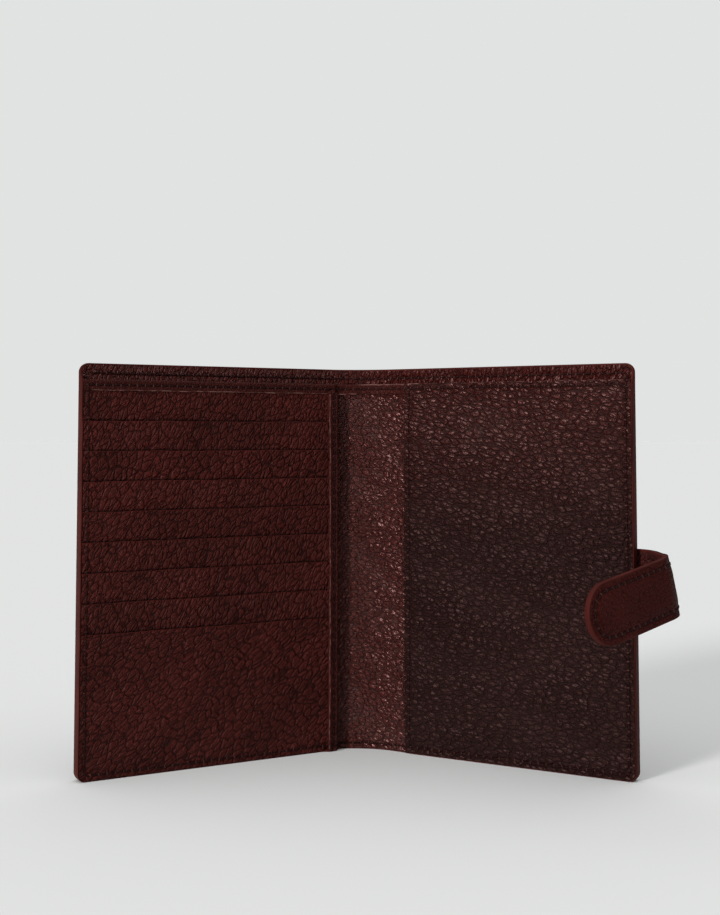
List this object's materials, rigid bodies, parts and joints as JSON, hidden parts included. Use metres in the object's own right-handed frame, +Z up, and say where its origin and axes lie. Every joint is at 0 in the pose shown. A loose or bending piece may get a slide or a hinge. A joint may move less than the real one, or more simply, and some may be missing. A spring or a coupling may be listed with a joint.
{
  "type": "passport holder",
  "caption": "Leather passport wallet, open and standing: card slots and note divider on one side, passport pocket on the other, and a strap closed by a press stud.",
  "frame": {"origin": "Centre of the open wallet's box in X and Y, on the surface it stands on (Z = 0).", "axes": "+Z is up along the fore edges and the folds. The open inside faces -Y. The cover with the card slots runs to -X and the cover with the passport pocket and the strap runs to +X."},
  "size_m": [0.2096, 0.1007, 0.146],
  "materials": {
    "shell_leather": "pebbled outer leather with a satin finish",
    "facing_leather": "pebbled lining leather of the inside and of the banknote divider",
    "panel_leather": "pebbled leather of the card slots and the passport pocket",
    "turned_edge": "folded edge strip, smoother and lighter than the panels",
    "strap_leather": "smooth fine-grained leather, painted edge",
    "strap_lining": "pebbled leather on the inner side of the strap",
    "thread": "waxed, tone on tone",
    "board": "reclaimed fibre board, hidden between the leathers",
    "snap_metal": "dull antique finish"
  },
  "bodies": {
    "back_cover": {"back_outer_shell": "shell_leather", "back_stiffener_board": "board", "back_inner_facing": "facing_leather", "back_bill_divider": "facing_leather", "back_divider_binding": "turned_edge", "passport_pocket_panel": "panel_leather", "back_seam_thread": "thread", "strap_root_lining": "strap_lining", "strap_root_outer": "strap_leather", "strap_root_thread": "thread"},
    "spine": {"spine_outer_shell": "shell_leather", "spine_inner_facing": "facing_leather", "spine_bill_divider": "facing_leather", "spine_divider_binding": "turned_edge", "spine_lower_thread": "thread", "spine_upper_thread": "thread"},
    "front_cover": {"front_outer_shell": "shell_leather", "front_stiffener_board": "board", "front_inner_facing": "facing_leather", "front_bill_divider": "facing_leather", "front_divider_binding": "turned_edge", "card_panel_base": "panel_leather", "card_slot_1": "panel_leather", "card_slot_2": "panel_leather", "card_slot_3": "panel_leather", "card_slot_4": "panel_leather", "card_slot_5": "panel_leather", "card_slot_6": "panel_leather", "card_slot_7": "panel_leather", "card_panel_lower": "panel_leather", "card_panel_edge_binding": "turned_edge", "front_seam_thread": "thread", "snap_stud": "snap_metal", "snap_stud_post": "snap_metal"},
    "strap_heel": {"strap_heel_lining": "strap_lining", "strap_heel_outer": "strap_leather"},
    "strap_middle": {"strap_middle_lining": "strap_lining", "strap_middle_outer": "strap_leather"},
    "strap_tip": {"strap_tip_lining": "strap_lining", "strap_tip_outer": "strap_leather", "strap_tip_thread": "thread", "snap_socket": "snap_metal", "snap_cap": "snap_metal"}
  },
  "joints": [
    {"name": "back_fold", "type": "hinge", "parent": "back_cover", "child": "spine", "pos_m": [0.0014, 0.04901, 0], "axis": [0, 0, 1], "range_deg": [-28.5, 61.5]},
    {"name": "front_fold", "type": "hinge", "parent": "spine", "child": "front_cover", "pos_m": [-0.0126, 0.04901, 0], "axis": [0, 0, 1], "range_deg": [-28.5, 61.5]},
    {"name": "strap_root_bend", "type": "hinge", "parent": "back_cover", "child": "strap_heel", "pos_m": [0.09584, 0.00081, 0.07], "axis": [0, 0, -1], "range_deg": [-47, 43]},
    {"name": "strap_twist", "type": "hinge", "parent": "strap_heel", "child": "strap_middle", "pos_m": [0.0987, -0.01023, 0.07], "axis": [-0.2504, 0.9681, 0], "range_deg": [-8, 11.5]},
    {"name": "strap_tip_bend", "type": "hinge", "parent": "strap_middle", "child": "strap_tip", "pos_m": [0.10155, -0.02127, 0.07], "axis": [0.193, 0.0499, -0.9799], "range_deg": [-66, 24]}
  ]
}
